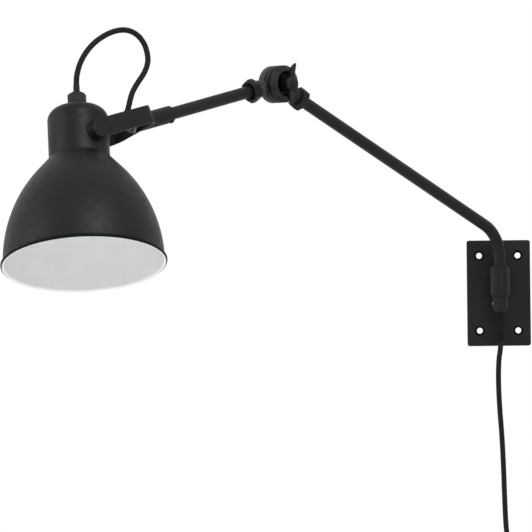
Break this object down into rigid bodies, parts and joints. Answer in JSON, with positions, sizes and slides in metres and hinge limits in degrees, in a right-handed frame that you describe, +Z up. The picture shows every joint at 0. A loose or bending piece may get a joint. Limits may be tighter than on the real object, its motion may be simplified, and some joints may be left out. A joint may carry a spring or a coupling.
{
  "type": "articulating wall lamp",
  "caption": "Wall lamp with a swivelling bent arm, a friction elbow with a wing nut, a second arm and a bell shade hung in a forked yoke, with its mains cord.",
  "frame": {"origin": "centre of the wall plate's back face, which lies on the wall", "axes": "+Z up, +Y into the wall, so the lamp reaches out along -Y; +X to the right as one faces the wall"},
  "size_m": [0.5481, 0.5245, 0.7386],
  "materials": {
    "black_coat": "matt black powder coat",
    "cast_black": "rough cast, matt black",
    "shade_enamel": "matt black outside, white enamel inside",
    "dark_steel": "blackened steel",
    "bright_steel": "zinc-plated steel",
    "black_plastic": "matt black plastic",
    "plug_plastic": "matt black plastic",
    "woven_cord": "black woven sleeve",
    "tie_band": "matt black band",
    "brass": "plain",
    "porcelain": "white insulator"
  },
  "bodies": {
    "wall_bracket": {"wall_plate": "black_coat", "swivel_barrel": "black_coat", "barrel_screws": "dark_steel", "upper_bush": "black_plastic", "lower_bush": "black_plastic", "mains_cord": "woven_cord", "cord_coil": "woven_cord", "cord_tie": "tie_band", "plug_lead": "woven_cord", "mains_plug": "plug_plastic", "plug_pins": "bright_steel"},
    "lower_arm": {"stop_ring": "black_coat", "collar": "black_coat", "collar_set_screw": "bright_steel", "strain_relief": "black_plastic", "lower_arm": "black_coat", "inner_cord_lower": "woven_cord", "knuckle_lower": "cast_black", "arm_nut_lower": "black_coat", "clamp_washer": "dark_steel", "spring_washer": "dark_steel"},
    "upper_arm": {"knuckle_upper": "cast_black", "friction_disc": "black_plastic", "clamp_bolt": "dark_steel", "arm_nut_upper": "black_coat", "upper_arm": "black_coat", "inner_cord_upper": "woven_cord"},
    "wing_nut": {"wing_nut": "cast_black"},
    "yoke": {"yoke_sleeve": "black_coat", "sleeve_set_screw": "dark_steel", "yoke_strap": "black_coat", "cord_nipple": "bright_steel", "nipple_washer": "dark_steel", "nipple_nut": "bright_steel", "pivot_studs": "black_coat", "pivot_washers": "bright_steel", "pivot_nuts": "bright_steel"},
    "shade": {"pivot_spacers": "black_coat", "shade": "shade_enamel", "entry_nut": "black_plastic", "entry_collar": "black_plastic", "holder_nipple": "bright_steel", "holder_nut": "bright_steel", "holder_cap": "black_plastic", "holder_body": "black_plastic", "screw_shell": "brass", "contact_insulator": "porcelain", "centre_contact": "brass", "loop_cord": "woven_cord"}
  },
  "joints": [
    {"name": "arm_swing", "type": "hinge", "parent": "wall_bracket", "child": "lower_arm", "pos_m": [0, -0.028, 0], "axis": [0, 0, 1], "range_deg": [-33, 127]},
    {"name": "elbow_fold", "type": "hinge", "parent": "lower_arm", "child": "upper_arm", "pos_m": [-0.2284, -0.24098, 0.20896], "axis": [0.682, -0.7314, 0], "range_deg": [-158, 81]},
    {"name": "wing_nut_turn", "type": "hinge", "parent": "upper_arm", "child": "wing_nut", "pos_m": [-0.2284, -0.24098, 0.20896], "axis": [0.682, -0.7314, 0], "continuous": true},
    {"name": "yoke_roll", "type": "hinge", "parent": "upper_arm", "child": "yoke", "pos_m": [-0.36478, -0.36229, 0.16716], "axis": [-0.7129, -0.6648, -0.2232], "range_deg": [-150, 150]},
    {"name": "shade_tilt", "type": "hinge", "parent": "yoke", "child": "shade", "pos_m": [-0.41625, -0.41029, 0.15105], "axis": [0.6013, -0.7433, 0.2931], "range_deg": [-40, 50], "deforming": ["loop_cord"]}
  ]
}
